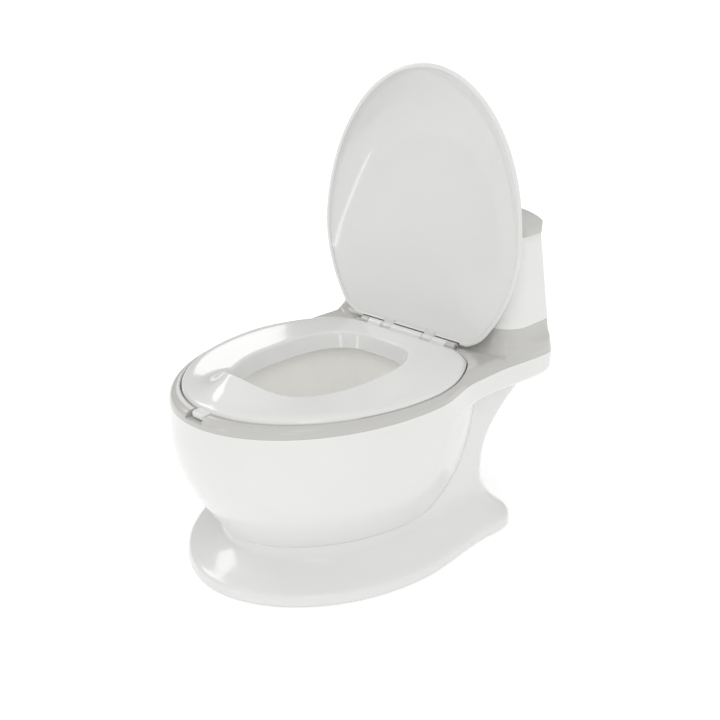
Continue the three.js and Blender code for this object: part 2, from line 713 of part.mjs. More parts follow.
const CELL_START = 4 - SOUND.halfLength + SOUND.end;
const SPEAKER_X = 44;

function soundHousing() {
  const { halfLength, y, halfDepth, top, bottom, wall, end } = SOUND;
  const shell = box([-halfLength, halfLength], [y - halfDepth, y + halfDepth], [bottom, top]);
  const room = box(
    [end - halfLength, halfLength - end],
    [y - halfDepth + wall, y + halfDepth - wall],
    [bottom + 3, top + 1],
  );
  const doorWell = box([end - halfLength + 2, SPEAKER_X - 14], [y - 7, y + 7], [bottom - 1, bottom + 4]);
  const slots = [-6, -3, 0, 3, 6].map((x) => box(
    [SPEAKER_X + x - 0.6, SPEAKER_X + x + 0.6], [y - 5, y + 5], [bottom - 1, bottom + 4],
  ));
  const holes = PEG_SPOTS.map(([x, py]) => cylinder(1.5, 40, [x, py, bottom], 'z', 10));
  const heads = PEG_SPOTS.map(([x, py]) => cylinder(3, 5, [x, py, bottom + 0.5], 'z', 12));
  return cut(shell, room, doorWell, ...slots, ...holes, ...heads);
}

function housingScrew([x, y]) {
  const cap = cylinder(2.6, 1.8, [x, y, SOUND.bottom + 1.8], 'z', 12);
  const shank = cylinder(1.1, 22, [x, y, SOUND.bottom + 13], 'z', 8);
  return join(cap, shank);
}

function batteryDoor() {
  const { y, bottom, halfLength, end } = SOUND;
  return box([end - halfLength + 2.3, SPEAKER_X - 14.3], [y - 6.7, y + 6.7], [bottom + 0.1, bottom + 1.9]);
}

function cell(index) {
  const x = CELL_START + CELL.length / 2 + index * (CELL.length + 1.8);
  const can = cylinder(CELL.radius, CELL.length - 1, [x - 0.5, SOUND.y, CELL.z], 'x', 20);
  const nub = cylinder(1.9, 1.5, [x + CELL.length / 2 - 0.5, SOUND.y, CELL.z], 'x', 12);
  return join(can, nub);
}

function batteryContact(x) {
  return box([x - 0.3, x + 0.3], [SOUND.y - 4, SOUND.y + 4], [CELL.z - 4.5, CELL.z + 4.5]);
}

function circuitBoard() {
  return box([-16, 16], [SOUND.y - 7.5, SOUND.y + 7.5], [SOUND.top - 5.1, SOUND.top - 4.1]);
}

function pushSwitch() {
  return box([-3, 3], [BUTTON.y - 3, BUTTON.y + 3], [SOUND.top - 3.8, SOUND.top - 3.1]);
}

function speaker() {
  const low = SOUND.bottom + 3 + GAP;
  const basket = cylinder(8, 2, [SPEAKER_X, SOUND.y, low + 1], 'z', 24);
  return join(basket, cylinder(5, 3.4, [SPEAKER_X, SOUND.y, low + 3], 'z', 20));
}

// ---------------------------------------------------------------- seat
function crestAt(x, y) {
  if (y > HOLE.middle || Math.abs(x) >= CREST.halfSpan) return 0;
  return CREST.height * Math.cos((Math.PI * x) / (2 * CREST.halfSpan)) ** 2;
}

// Height of the seat's top face above its edge, against the share of the way in to the hole.
const SEAT_RISE = [[0, 0], [0.035, 2.1], [0.1, 3.3], [0.3, 4.2], [0.62, 4.7], [0.86, 4.9], [1, 5]];

function seatSection(i, inner, skirt) {
  const [edge, hole, funnel] = [seatLoop[i], holeLoop[i], funnelLoop[i]];
  const crest = crestAt(hole.x, hole.y);
  const topPoint = (share, rise, drop = 0) => {
    const point = edge.clone().lerp(hole, share);
    return point.setZ(SEAT_Z.edge + rise + crest * share ** 1.7 - drop);
  };
  const top = SEAT_RISE.map(([share, rise]) => topPoint(share, rise));
  const under = [[0.93, 4.9], [0.62, 4.7], [0.3, 4.2], [0.12, 3.3]].map(
    ([share, rise]) => topPoint(share, rise, SEAT_SKIN),
  );
  return [
    edge.clone().setZ(SEAT_Z.bottom),
    ...top,
    funnel.clone(),
    skirt[i].clone(),
    ...under,
    inner[i].clone().setZ(SEAT_Z.edge - 1.6),
    inner[i].clone().setZ(SEAT_Z.bottom),
  ];
}

const BUMPER_SPOTS = [[-66, -128], [66, -128], [-104, 56], [104, 56]];

function mirrored(span) {
  return [-span[1], -span[0]];
}

function seat() {
  const inner = offset(seatLoop, -SEAT_WALL);
  const skirt = offset(funnelLoop, 2.5);
  const ring = solid(ringLoft(seatLoop.map((_, i) => seatSection(i, inner, skirt))));
  const spans = [BARRELS.centre, BARRELS.outer, mirrored(BARRELS.outer)];
  const barrels = spans.map((span) => hingeCylinder(HINGE.barrel, span));
  const webs = spans.map((span) => box(span, [97, HINGE.y], [185.2, 190.4]));
  const tab = solid(loft([
    tabLoop(SEAT_Z.bottom + 0.4, 0),
    tabLoop(SEAT_Z.edge - 1, 0),
    tabLoop(SEAT_Z.edge + 0.4, 1.2),
  ]));
  const stalks = BUMPER_SPOTS.map(([x, y]) => cylinder(4, 9, [x, y, SEAT_Z.bottom + 4.7], 'z', 14));
  const knuckleRoom = [BARRELS.knuckle, mirrored(BARRELS.knuckle)].map(
    ([x0, x1]) => box([x0 - 0.4, x1 + 0.4], KNUCKLE_ROOM, [180, 200]),
  );
  const bore = hingeCylinder(HINGE.bore, [-70, 70], 14);
  return cut(join(ring, ...webs, ...barrels, tab, ...stalks), bore, ...knuckleRoom);
}

// Finger tab at the front of the seat.
function tabLoop(z, inset) {
  const shape = { halfWidth: 9 - inset, front: -180.2 + inset, rear: -167, frontCorner: 4, rearCorner: 1 };
  return roundedBox(shape, 0, z, 3);
}

function seatBumper([x, y]) {
  return cylinder(4.5, 2.4, [x, y, DECK.ledge + 1.4 + GAP], 'z', 16);
}

// ---------------------------------------------------------------- lid
const LID_SPAN = 89;
const lidLoop = outline(
  (y) => seatHalfWidth(y, LID.overhang, LID.rear, LID.corner, LID_SPAN),
  LID.middle,
  LID.rim,
);

function lidRise(point, share) {
  const dome = LID_DOME.front - LID_DOME.loss * smooth((point.y + 140) / 220);
  return dome * (1 - share ** 5);
}

function lidRow(share, base) {
  const middle = new THREE.Vector3(0, LID.middle, 0);
  return lidLoop.map((edge) => {
    const point = middle.clone().lerp(edge, share);
    return point.setZ(base + lidRise(point, share));
  });
}

function lid() {
  const shares = [0.985, 0.91, 0.78, 0.56, 0.24];
  const lip = offset(lidLoop, -LID.lip);
  const lipRise = lip.map((point) => point.clone().setZ(LID.rim + 2));
  const dish = solid(loft([
    ...[...shares].reverse().map((share) => lidRow(share, LID.rim + LID.skin)),
    atHeight(lidLoop, LID.rim + LID.skin - 0.7),
    lidLoop,
    lip,
    lipRise,
    ...shares.slice(1).map((share) => lidRow(share, LID.rim)),
  ]));
  const spans = [BARRELS.knuckle, mirrored(BARRELS.knuckle)];
  const knuckles = spans.map((span) => hingeCylinder(HINGE.barrel, span));
  const webs = spans.map((span) => box(
    span, [KNUCKLE_ROOM[0] + GAP, HINGE.y], [LID.rim - 1.2, LID.rim + 2.6],
  ));
  const rearRoom = box([-69.7, 69.7], [102.6, 125], [180, 230]);
  return cut(join(cut(dish, rearRoom), ...webs, ...knuckles), hingeCylinder(HINGE.bore, [-70, 70], 14));
}

// ---------------------------------------------------------------- potty bowl
function pottyBowl() {
  const top = DECK.ledge - GAP;
  const low = [[BOWL.bottom, 44], [BOWL.bottom + 3, 36], [86, 26]];
  const walls = [...low, [112, 15.5], [145, 10], [top - BOWL.flange, 5.5]];
  const row = (z, inset) => outline((y) => bowlHalfWidth(y, inset), BOWL.middle, z);
  const outer = walls.map(([z, inset]) => row(z, inset));
  const inner = walls.map(([z, inset], i) => row(i < 2 ? z + 2.4 : z + 0.8, inset + 2.1)).reverse();
  return loft([...outer, row(top - BOWL.flange, 0.2), row(top, 0.2), row(top, 6.4), ...inner]);
}

// ---------------------------------------------------------------- assembly
const chair = new THREE.Group();
chair.name = 'potty_chair';
chair.position.y = -CENTRE_Y;

function add(parent, name, shape, material) {
  const geometry = shape.isBufferGeometry ? shape : toGeometry(shape);
  const mesh = new THREE.Mesh(geometry, material);
  mesh.name = name;
  parent.add(mesh);
  return mesh;
}

function addEach(parent, name, spots, make, material) {
  spots.forEach((spot, i) => add(parent, `${name}_${i + 1}`, make(spot), material));
}

// Group turned about the seat hinge, so that pieces modelled shut stand open.
function turnedAboutHinge(degrees) {
  const pivot = new THREE.Group();
  pivot.position.set(0, HINGE.y, HINGE.z);
  pivot.rotation.x = THREE.MathUtils.degToRad(-degrees);
  const content = new THREE.Group();
  content.position.set(0, -HINGE.y, -HINGE.z);
  pivot.add(content);
  chair.add(pivot);
  return content;
}

add(chair, 'pedestal', pedestal(), white);
addEach(chair, 'foot_pad', PAD_SPOTS, footPad, rubber);
add(chair, 'body_shell', bodyShell(), white);
addEach(chair, 'base_screw', BASE_SCREW_SPOTS, (spot) => screwBody(spot, 35.2, 12), steel);
add(chair, 'deck', deck(), grey);
addEach(chair, 'shelf_screw', SHELF_SCREW_SPOTS, (spot) => screwBody(spot, 147.7, 13), steel);
add(chair, 'potty_bowl', pottyBowl(), warmWhite);
add(chair, 'tank', tank(), white);
addEach(chair, 'tank_screw', TANK_SCREW_SPOTS, (spot) => screwBody(spot, 207.7, 13), steel);
add(chair, 'hinge_pin', hingeCylinder(HINGE.pin, [-66.8, 66.8], 14), steel);

add(chair, 'seat', seat(), seatWhite);
addEach(chair, 'seat_bumper', BUMPER_SPOTS, seatBumper, rubber);
add(turnedAboutHinge(LID_OPEN), 'lid', lid(), seatWhite);

add(chair, 'tank_lid', tankLid(), grey);
addEach(chair, 'tank_lid_pin', [-TANK_HINGE.x, TANK_HINGE.x], tankLidPin, steel);
add(chair, 'flush_button', flushButton(), seatWhite);
add(chair, 'button_bezel', bezel(), chrome);
add(chair, 'button_spring', buttonSpring(), steel);
add(chair, 'sound_housing', soundHousing(), darkPlastic);
addEach(chair, 'housing_screw', PEG_SPOTS, housingScrew, steel);
add(chair, 'battery_door', batteryDoor(), darkPlastic);
addEach(chair, 'battery', [0, 1], cell, cellWrap);
add(chair, 'battery_contact_1', batteryContact(CELL_START - 1.2), steel);
add(chair, 'battery_contact_2', batteryContact(CELL_START + 2 * CELL.length + 3.4), steel);
add(chair, 'circuit_board', circuitBoard(), board);
add(chair, 'push_switch', pushSwitch(), darkPlastic);
add(chair, 'speaker', speaker(), darkPlastic);

export default chair;
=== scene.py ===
import json
import math

import bmesh
import bpy
import numpy as np
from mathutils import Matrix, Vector


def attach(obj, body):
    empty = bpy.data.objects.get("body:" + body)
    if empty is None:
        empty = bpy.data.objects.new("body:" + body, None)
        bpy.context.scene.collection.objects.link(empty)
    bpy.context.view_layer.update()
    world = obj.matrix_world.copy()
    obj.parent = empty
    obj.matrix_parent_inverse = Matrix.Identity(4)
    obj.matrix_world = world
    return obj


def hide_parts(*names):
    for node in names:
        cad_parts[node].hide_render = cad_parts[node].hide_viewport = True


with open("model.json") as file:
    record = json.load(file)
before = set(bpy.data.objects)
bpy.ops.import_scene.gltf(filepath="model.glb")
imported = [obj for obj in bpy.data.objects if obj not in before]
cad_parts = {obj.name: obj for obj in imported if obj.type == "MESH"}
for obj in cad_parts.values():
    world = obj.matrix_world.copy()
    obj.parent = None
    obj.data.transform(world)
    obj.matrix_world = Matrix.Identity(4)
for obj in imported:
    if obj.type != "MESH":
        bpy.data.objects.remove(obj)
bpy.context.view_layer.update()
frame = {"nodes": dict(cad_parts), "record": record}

# Lengths are millimetres until make_mesh, in a frame centred on the seat.
MM = 0.001
CENTRE_Y = 7.0
GAP = 0.3
SEAM = 0.12
WALL = 3.0

SEAT_HALF, SEAT_FRONT, SEAT_REAR, SEAT_SPAN = 130.0, 171.3, 101.5, 134.0
SEAT_BOTTOM, SEAT_EDGE, SEAT_TOP = 183.0, 188.5, 193.5
HINGE_Y, HINGE_Z, BARREL, BORE = 108.4, 189.0, 5.0, 2.35
CENTRE_SPAN, KNUCKLE_SPAN = (-21.8, 21.8), (22.2, 35.8)
OUTER_SPAN, POST_SPAN = (36.2, 55.8), (56.2, 67.0)
HOLE_MIDDLE = -40.0
LID_MIDDLE, LID_RIM, LID_SKIN, LID_LIP, LID_OPEN = -50.0, 191.2, 2.5, 4.0, 93.6
SHELL_TOP, SHELL_LOW, SHELF_LOW, SHELF_ROUND = 178.0, 41.0, 150.0, 16.0
DECK_LOW, DECK_RING, DECK_LEDGE, DECK_TONGUE, DECK_TOP = 178.3, 188.0, 180.0, 175.0, 214.0
TANK_LOW_Z, TANK_TOP_Z = 214.3, 308.0
# Half width, front, rear, front corner and rear corner, at the foot and at the top.
TANK_LOW = np.array([123.3, 127.0, 198.5, 27.0, 8.0])
TANK_HIGH = np.array([114.0, 143.3, 188.7, 16.0, 8.0])
LID_EDGE, LID_CROWN, LID_THICK = 9.0, 18.0, 2.5
SCOOP = 13.0
COVER_HINGE_Y, COVER_HINGE_Z, COVER_BARREL, COVER_PIN_BORE, COVER_X = 193.9, 307.5, 3.2, 1.5, 62.0
BUTTON_Y = 166.0
FOOT_SPOTS = ((-80, -108), (80, -108), (-114, 116), (114, 116))
BUMPER_SPOTS = ((-66, -128), (66, -128), (-104, 56), (104, 56))
TANK_SCREW_SPOTS = ((-70, 160), (70, 160))

# ------------------------------------------------------------------ camera
AZIMUTH, ELEVATION = math.radians(43.46), math.radians(21.59)
TARGET = Vector((0.03076, -0.007, 0.19648))
DISTANCE = 0.951
level = math.cos(ELEVATION)
back = Vector((math.sin(AZIMUTH) * level, -math.cos(AZIMUTH) * level, math.sin(ELEVATION)))
camera_data = bpy.data.cameras.new("camera")
camera_data.sensor_width = 36.0
camera_data.lens = 47.63
camera_data.clip_start = 0.01
camera_data.clip_end = 100.0
camera = bpy.data.objects.new("camera", camera_data)
bpy.context.scene.collection.objects.link(camera)
camera.location = TARGET + back * DISTANCE
camera.rotation_euler = back.to_track_quat("Z", "Y").to_euler()
bpy.context.scene.camera = camera


# ------------------------------------------------------------------ curves and outlines
def smooth(t):
    s = np.clip(t, 0, 1)
    return s * s * (3 - 2 * s)


def curve(points, x):
    """Smooth curve through (x, value) points."""
    xs, ys = np.array(points, float).T
    slopes = np.gradient(ys, xs)
    i = np.clip(np.searchsorted(xs, x) - 1, 0, len(xs) - 2)
    h = xs[i + 1] - xs[i]
    t = np.clip((x - xs[i]) / h, 0, 1)
    return (
        (2 * t**3 - 3 * t**2 + 1) * ys[i]
        + (t**3 - 2 * t**2 + t) * h * slopes[i]
        + (3 * t**2 - 2 * t**3) * ys[i + 1]
        + (t**3 - t**2) * h * slopes[i + 1]
    )


def arm(d, reach, half_width, power=2.0):
    return half_width * np.maximum(0, 1 - np.abs(d / reach) ** power) ** (1 / power)


def cornered(width, y, rear, radius, span):
    into = np.maximum(0, (y - rear + radius) / radius)
    flat = span - radius
    return flat + (width - flat) * np.sqrt(np.maximum(0, 1 - into * into))


def plan_angles():
    half = np.concatenate([np.arange(-90, 33, 3.0), np.arange(33, 67, 1.0), np.arange(67, 90, 3.0), [90.0]])
    other = 180 - half[1:-1][::-1]
    return np.radians(np.concatenate([half, other]))


ANGLES = plan_angles()


def outline(half_width, middle, z=0.0):
    low = np.zeros(len(ANGLES))
    high = np.full(len(ANGLES), 400.0)
    across, along = np.cos(ANGLES), np.sin(ANGLES)
    for _ in range(42):
        r = (low + high) / 2
        inside = np.abs(r * across) < half_width(middle + r * along)
        low = np.where(inside, r, low)
        high = np.where(inside, high, r)
    return np.stack([low * across, middle + low * along, np.full(len(ANGLES), z)], 1)


def offset(loop, distance, z=None):
    along = np.roll(loop, -1, 0) - np.roll(loop, 1, 0)
    along[:, 2] = 0
    along /= np.linalg.norm(along, axis=1)[:, None]
    moved = loop + distance * np.stack([along[:, 1], -along[:, 0], np.zeros(len(loop))], 1)
    if z is not None:
        moved[:, 2] = z
    return moved


def at_height(loop, z):
    moved = loop.copy()
    moved[:, 2] = z
    return moved


def seat_half(y, grow=0.0, rear=SEAT_REAR, corner=20.0, span=90.0):
    front = arm(y, SEAT_FRONT + grow, SEAT_HALF + grow)
    share = np.clip(np.maximum(y, 0) / (SEAT_SPAN + grow), 0, 1)
    behind = (SEAT_HALF + grow) * (1 - share**1.7) ** (1 / 2.3)
    width = np.where(y < 0, front, behind)
    return np.where(y > rear, 0, cornered(width, y, rear, corner, span))


def hole_half(y, half_width, front, rear):
    d = y - HOLE_MIDDLE
    return np.where(d < 0, arm(d, front, half_width, 1.7), arm(d, rear, half_width, 3.2))


def bowl_half(y, inset):
    d = y - HOLE_MIDDLE
    return np.where(d < 0, arm(d, 112 - inset, 82 - inset, 2.0), arm(d, 120 - inset, 82 - inset, 3.0))


def body_half(y, inset):
    width = 136.5 - 12.5 * smooth(y / 70) + 6.5 * smooth((y - 105) / 80) - inset
    front = arm(y, 186 - inset, 136.5 - inset)
    behind = np.where(y > 200 - inset, 0, cornered(width, y, 200 - inset, 9.0, 130.5 - inset))
    return np.where(y < 0, front, behind)


COLUMN_BACK = [(31, 129), (46, 120.5), (68, 119), (93, 125), (111, 138), (126, 156), (137, 174), (150, 191)]


def neck_half(y, z):
    rear = curve(COLUMN_BACK, z)
    front = arm(y, 139.5, 102.5, 1.85)
    behind = cornered(102.5 + 4.5 * smooth(y / 50), y, rear, 17.0, 107.0)
    return np.where(y > rear, 0, np.where(y < 0, front, behind))


def rim_half(y):
    front = arm(y, 177.0, 140.5, 1.92)
    waist = 3 * smooth((y - 72) / 32) - 2.5 * smooth(y / 64)
    behind = np.where(y > 143.5, 0, cornered(140.5 + waist, y, 143.5, 38.0, 141.0))
    return np.where(y < 0, front, behind)


def deck_half(y, rise):
    height = min(1.0, rise / (DECK_RING - DECK_LOW))
    lean = 4 * smooth((y - 20) / 45) * (1 - smooth((y - 120) / 45)) * height
    return np.maximum(0, body_half(y, rise * 0.11) - lean)


def tank_shape(z):
    t = (z - TANK_LOW_Z) / (TANK_TOP_Z - TANK_LOW_Z)
    return TANK_LOW + (TANK_HIGH - TANK_LOW) * t


def rounded_box(shape, grow, z, steps=10, straights=(26, 8)):
    half, front, rear, front_corner, rear_corner = shape
    corners = [
        (half - front_corner, front + front_corner, front_corner + grow, -90),
        (half - rear_corner, rear - rear_corner, rear_corner + grow, 0),
        (rear_corner - half, rear - rear_corner, rear_corner + grow, 90),
        (front_corner - half, front + front_corner, front_corner + grow, 180),
    ]
    arcs = []
    for x, y, radius, start in corners:
        angle = np.radians(start + 90 * np.arange(steps + 1) / steps)
        arcs.append(np.stack([x + radius * np.cos(angle), y + radius * np.sin(angle)], 1))
    points = []
    for i, arc in enumerate(arcs):
        points.append(arc)
        count = straights[1] if i % 2 == 0 else straights[0]
        share = np.arange(1, count)[:, None] / count
        points.append(arc[-1] + (arcs[(i + 1) % 4][0] - arc[-1]) * share)
    flat = np.concatenate(points)
    return np.column_stack([flat, np.full(len(flat), z)])


# ------------------------------------------------------------------ meshes
def make_mesh(name, points, faces, sharp=40.0):
    data = bpy.data.meshes.new(name)
    row = np.array(points, float) - np.array([0.0, CENTRE_Y, 0.0])
    data.from_pydata((row * MM).tolist(), [], faces)
    tidy = bmesh.new()
    tidy.from_mesh(data)
    bmesh.ops.remove_doubles(tidy, verts=tidy.verts, dist=2e-6)
    bmesh.ops.recalc_face_normals(tidy, faces=tidy.faces)
    tidy.to_mesh(data)
    tidy.free()
    obj = bpy.data.objects.new(name, data)
    bpy.context.scene.collection.objects.link(obj)
    set_shading(obj, sharp)
    return obj


def set_shading(obj, sharp):
    obj.data.shade_smooth()
    obj.data.set_sharp_from_angle(angle=math.radians(sharp))


def loft(name, loops, closed=False, sharp=40.0):
    """Skin over loops of equal length, closed by a fan at each end, or joined end to end."""
    count = len(loops[0])
    points = [p for loop in loops for p in loop]
    faces = []
    levels = len(loops) if closed else len(loops) - 1
    for level in range(levels):
        above = (level + 1) % len(loops)
        for i in range(count):
            j = (i + 1) % count
            faces.append((level * count + i, level * count + j, above * count + j, above * count + i))
    if not closed:
        for start in (0, (len(loops) - 1) * count):
            hub = len(points)
            points.append(np.mean(points[start : start + count], axis=0))
            faces += [(hub, start + i, start + (i + 1) % count) for i in range(count)]
    return make_mesh(name, points, faces, sharp)


def rod(name, radius, x0, x1, y, z, sides=40, edge=0.5):
    """Cylinder along X with rounded ends."""
    angle = 2 * np.pi * np.arange(sides) / sides
    loops = []
    for x, r in ((x0, radius - edge), (x0 + edge, radius), (x1 - edge, radius), (x1, radius - edge)):
        loops.append(np.stack([np.full(sides, x), y + r * np.cos(angle), z + r * np.sin(angle)], 1))
    return loft(name, loops)


def turned(name, profile, x, y, sides=72):
    """Body of revolution about a vertical axis, from (radius, z) points."""
    angle = 2 * np.pi * np.arange(sides) / sides
    loops = []
    for r, z in profile:
        loops.append(np.stack([x + r * np.cos(angle), y + r * np.sin(angle), np.full(sides, z)], 1))
    return loft(name, loops)


def block(name, x, y, z, edge=0.0):
    """Box between two x, two y and two z values, with rounded upright edges."""
    shape = np.array([(x[1] - x[0]) / 2, y[0], y[1], max(edge, 0.01), max(edge, 0.01)])
    shift = np.array([(x[0] + x[1]) / 2, 0, 0])
    steps = 4 if edge > 0 else 1
    loops = [rounded_box(shape, 0, z0, steps, (1, 1)) + shift for z0 in z]
    return loft(name, loops)


def combine(target, tool, operation, sharp=40.0):
    modifier = target.modifiers.new("combine", "BOOLEAN")
    modifier.operation = operation
    modifier.solver = "MANIFOLD"
    modifier.object = tool
    graph = bpy.context.evaluated_depsgraph_get()
    result = bpy.data.meshes.new_from_object(target.evaluated_get(graph))
    target.modifiers.clear()
    target.data = result
    target.data.name = target.name
    bpy.data.objects.remove(tool)
    set_shading(target, sharp)
    return target


def joined(target, *tools):
    for tool in tools:
        combine(target, tool, "UNION")
    return target


def cut(target, *tools):
    for tool in tools:
        combine(target, tool, "DIFFERENCE")
    return target


def mirrored(span):
    return (-span[1], -span[0])


def finish_piece(obj, body, material, *nodes):
    obj.data.materials.clear()
    obj.data.materials.append(material)
    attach(obj, body)
    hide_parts(*nodes)
    return obj


SLOT_OF = {part["node"]: part["material_slot"] for part in frame["record"]["subparts"]}


# ------------------------------------------------------------------ materials
def node(tree, kind, **values):
    made = tree.nodes.new(kind)
    for key, value in values.items():
        if key in made.inputs:
            made.inputs[key].default_value = value
        else:
            setattr(made, key, value)
    return made


def plastic(
    name,
    colour,
    roughness,
    spread=0.05,
    tint=0.03,
    bump=0.02,
    grain=900.0,
    coat=0.0,
    metallic=0.0,
    wear=0.06,
    painted_fill_glow=0.0,
):
    """Moulded material: slight colour clouds, smudged roughness, fine grain, paler worn edges, and a painted
    glow (emission) that stands in for bounce light in shaded hollows.
    """
    material = bpy.data.materials.new(name)
    material.use_nodes = True
    tree = material.node_tree
    shader = tree.nodes["Principled BSDF"]
    shader.inputs["Metallic"].default_value = metallic
    shader.inputs["IOR"].default_value = 1.5
    shader.inputs["Coat Weight"].default_value = coat
    shader.inputs["Coat Roughness"].default_value = 0.06
    # Emission here is painted light, not a lamp: a steady glow that stands in for bounce light and lifts the
    # shade inside the seat and bowl.
    shader.inputs["Emission Color"].default_value = (1.0, 0.99, 0.97, 1)
    shader.inputs["Emission Strength"].default_value = painted_fill_glow
    where = node(tree, "ShaderNodeTexCoord")
    clouds = node(tree, "ShaderNodeTexNoise", Scale=14.0, Detail=4.0, Roughness=0.55)
    tree.links.new(where.outputs["Object"], clouds.inputs["Vector"])
    ramp = node(tree, "ShaderNodeValToRGB")
    darker = [c * (1 - tint) for c in colour]
    ramp.color_ramp.elements[0].position = 0.3
    ramp.color_ramp.elements[0].color = (*darker, 1)
    ramp.color_ramp.elements[1].position = 0.7
    ramp.color_ramp.elements[1].color = (*colour, 1)
    tree.links.new(clouds.outputs["Fac"], ramp.inputs["Fac"])
    surface = node(tree, "ShaderNodeNewGeometry")
    edge = node(tree, "ShaderNodeMapRange")
    edge.inputs["From Min"].default_value = 0.52
    edge.inputs["From Max"].default_value = 0.62
    edge.inputs["To Max"].default_value = wear
    tree.links.new(surface.outputs["Pointiness"], edge.inputs["Value"])
    worn = node(tree, "ShaderNodeMix", data_type="RGBA")
    worn.inputs[7].default_value = (1, 1, 1, 1)
    tree.links.new(edge.outputs["Result"], worn.inputs[0])
    tree.links.new(ramp.outputs["Color"], worn.inputs[6])
    tree.links.new(worn.outputs[2], shader.inputs["Base Color"])
    smudge = node(tree, "ShaderNodeTexNoise", Scale=38.0, Detail=5.0, Roughness=0.6)
    tree.links.new(where.outputs["Object"], smudge.inputs["Vector"])
    gloss = node(tree, "ShaderNodeMapRange")
    gloss.inputs["From Min"].default_value = 0.3
    gloss.inputs["From Max"].default_value = 0.7
    gloss.inputs["To Min"].default_value = roughness - spread / 2
    gloss.inputs["To Max"].default_value = roughness + spread / 2
    tree.links.new(smudge.outputs["Fac"], gloss.inputs["Value"])
    tree.links.new(gloss.outputs["Result"], shader.inputs["Roughness"])
    peel = node(tree, "ShaderNodeTexNoise", Scale=grain, Detail=2.0)
    tree.links.new(where.outputs["Object"], peel.inputs["Vector"])
    relief = node(tree, "ShaderNodeBump", Strength=bump, Distance=0.0004)
    tree.links.new(peel.outputs["Fac"], relief.inputs["Height"])
    tree.links.new(relief.outputs["Normal"], shader.inputs["Normal"])
    return material


# The glow values paint fill light into these plastics; the seat and bowl get the most, to lift their shaded
# insides.
WHITE = plastic("white_gloss", (0.69, 0.69, 0.68), 0.16, tint=0.02, coat=0.35, painted_fill_glow=0.03)
SEAT_WHITE = plastic("seat_gloss", (0.63, 0.63, 0.622), 0.14, tint=0.02, coat=0.4, painted_fill_glow=0.06)
BOWL_WHITE = plastic("bowl_gloss", (0.80, 0.795, 0.77), 0.3, painted_fill_glow=0.08)
GREY = plastic("grey_satin", (0.49, 0.485, 0.465), 0.2, tint=0.012, bump=0.012, coat=0.3, wear=0.05)
RUBBER = plastic("soft_rubber", (0.3, 0.3, 0.29), 0.8, bump=0.3, grain=500.0)
STEEL = plastic("zinc_steel", (0.55, 0.56, 0.58), 0.34, metallic=1.0, bump=0.06)
CHROME = plastic("chrome_trim", (0.78, 0.79, 0.8), 0.08, spread=0.03, metallic=1.0, bump=0.01)
DARK = plastic("dark_plastic", (0.06, 0.062, 0.065), 0.55, bump=0.25, grain=700.0)
BOARD = plastic("board_green", (0.03, 0.16, 0.07), 0.4, bump=0.1, grain=400.0)
CELL = plastic("cell_film", (0.2, 0.215, 0.23), 0.3, bump=0.05)

SLOT_MATERIAL = {
    "white_plastic": WHITE,
    "seat_plastic": SEAT_WHITE,
    "bowl_plastic": BOWL_WHITE,
    "grey_plastic": GREY,
    "soft_rubber": RUBBER,
    "steel": STEEL,
    "chrome_trim": CHROME,
    "dark_plastic": DARK,
    "board": BOARD,
    "cell_wrap": CELL,
}
for name, carried in frame["nodes"].items():
    carried.data.materials.clear()
    carried.data.materials.append(SLOT_MATERIAL[SLOT_OF[name]])


# ------------------------------------------------------------------ body shell
def shell_half(y, z, shelf_inset):
    u = (SHELL_TOP - z) / (SHELL_TOP - SHELL_LOW)
    width = 136.5 - 32.5 * u**2
    front = arm(y, 186 - 45 * u**2.3, width, 2 - 0.2 * u + 0.32 * math.sin(math.pi * u))
    rear = curve(COLUMN_BACK, z) - WALL - 1.5
    bowl = np.where(y > rear, 0, np.minimum(arm(y, 149.0, width), body_half(y, 0)))
    if shelf_inset is not None:
        shelf = np.where(y > 25, body_half(y, shelf_inset), 0)
        blend = 9 * (1 - float(smooth((z - SHELF_LOW) / 20))) + 1e-6
        near = np.maximum(0, blend - np.abs(bowl - shelf)) / blend
        both = (bowl > 0) & (shelf > 0)
        bowl = np.maximum(bowl, shelf) + both * near * near * blend / 4
    return np.where(y < 0, front, bowl)


def shell_levels():
    levels = [(z, None) for z in (41, 41.6, 42.8, 45, 48, 52, 58, 66, 76, 88, 100, 112, 124, 136, 146, 149.9)]
    for degrees in range(0, 91, 10):
        angle = math.radians(degrees)
        inset = SHELF_ROUND * (1 - math.sin(angle))
        levels.append((SHELF_LOW + SHELF_ROUND * 0.75 * (1 - math.cos(angle)), inset))
    return levels + [(z, 0.0) for z in (165, 170, 174, SHELL_TOP)]


def shell_loops(grow):
    loops = []
    for z, inset in shell_levels():
        edge = max(0.0, 1.6 - (z - SHELL_LOW) * 0.7) if z < 43 else 0.0
        height = max(z, SHELL_LOW - grow) if inset is None else z - grow * (SHELL_TOP - z) / 28
        loops.append(offset(outline(lambda y: shell_half(y, z, inset), -10.0), grow - edge, height))
    return loops


def build_shell():
    outer = shell_loops(0.0)
    inner = shell_loops(-WALL)
    obj = loft("body_shell_skin", outer + inner[::-1], sharp=50)
    return finish_piece(obj, "chair", WHITE, "body_shell")


# ------------------------------------------------------------------ pedestal
RIM_LOW = 1.0
# Height, and share of the way from the column's foot out to the rim.
FLARE = [
    (1, 1), (6, 0.99), (9.6, 0.968), (11.2, 0.93), (12.4, 0.87),
    (15, 0.70), (19, 0.47), (24.5, 0.22), (29.5, 0.05), (33, 0),
]
FLARE_LEVELS = (1, 2.2, 4, 6, 7.5, 9, 10.2, 11.4, 12.6, 14, 15.5, 17.5, 20, 22.5, 25, 27.5, 30)
NECK_LEVELS = (33, 37, 42, 48, 56, 66, 76, 86, 96, 106, 114, 121, 128, 134, 140, 145, 149.7)


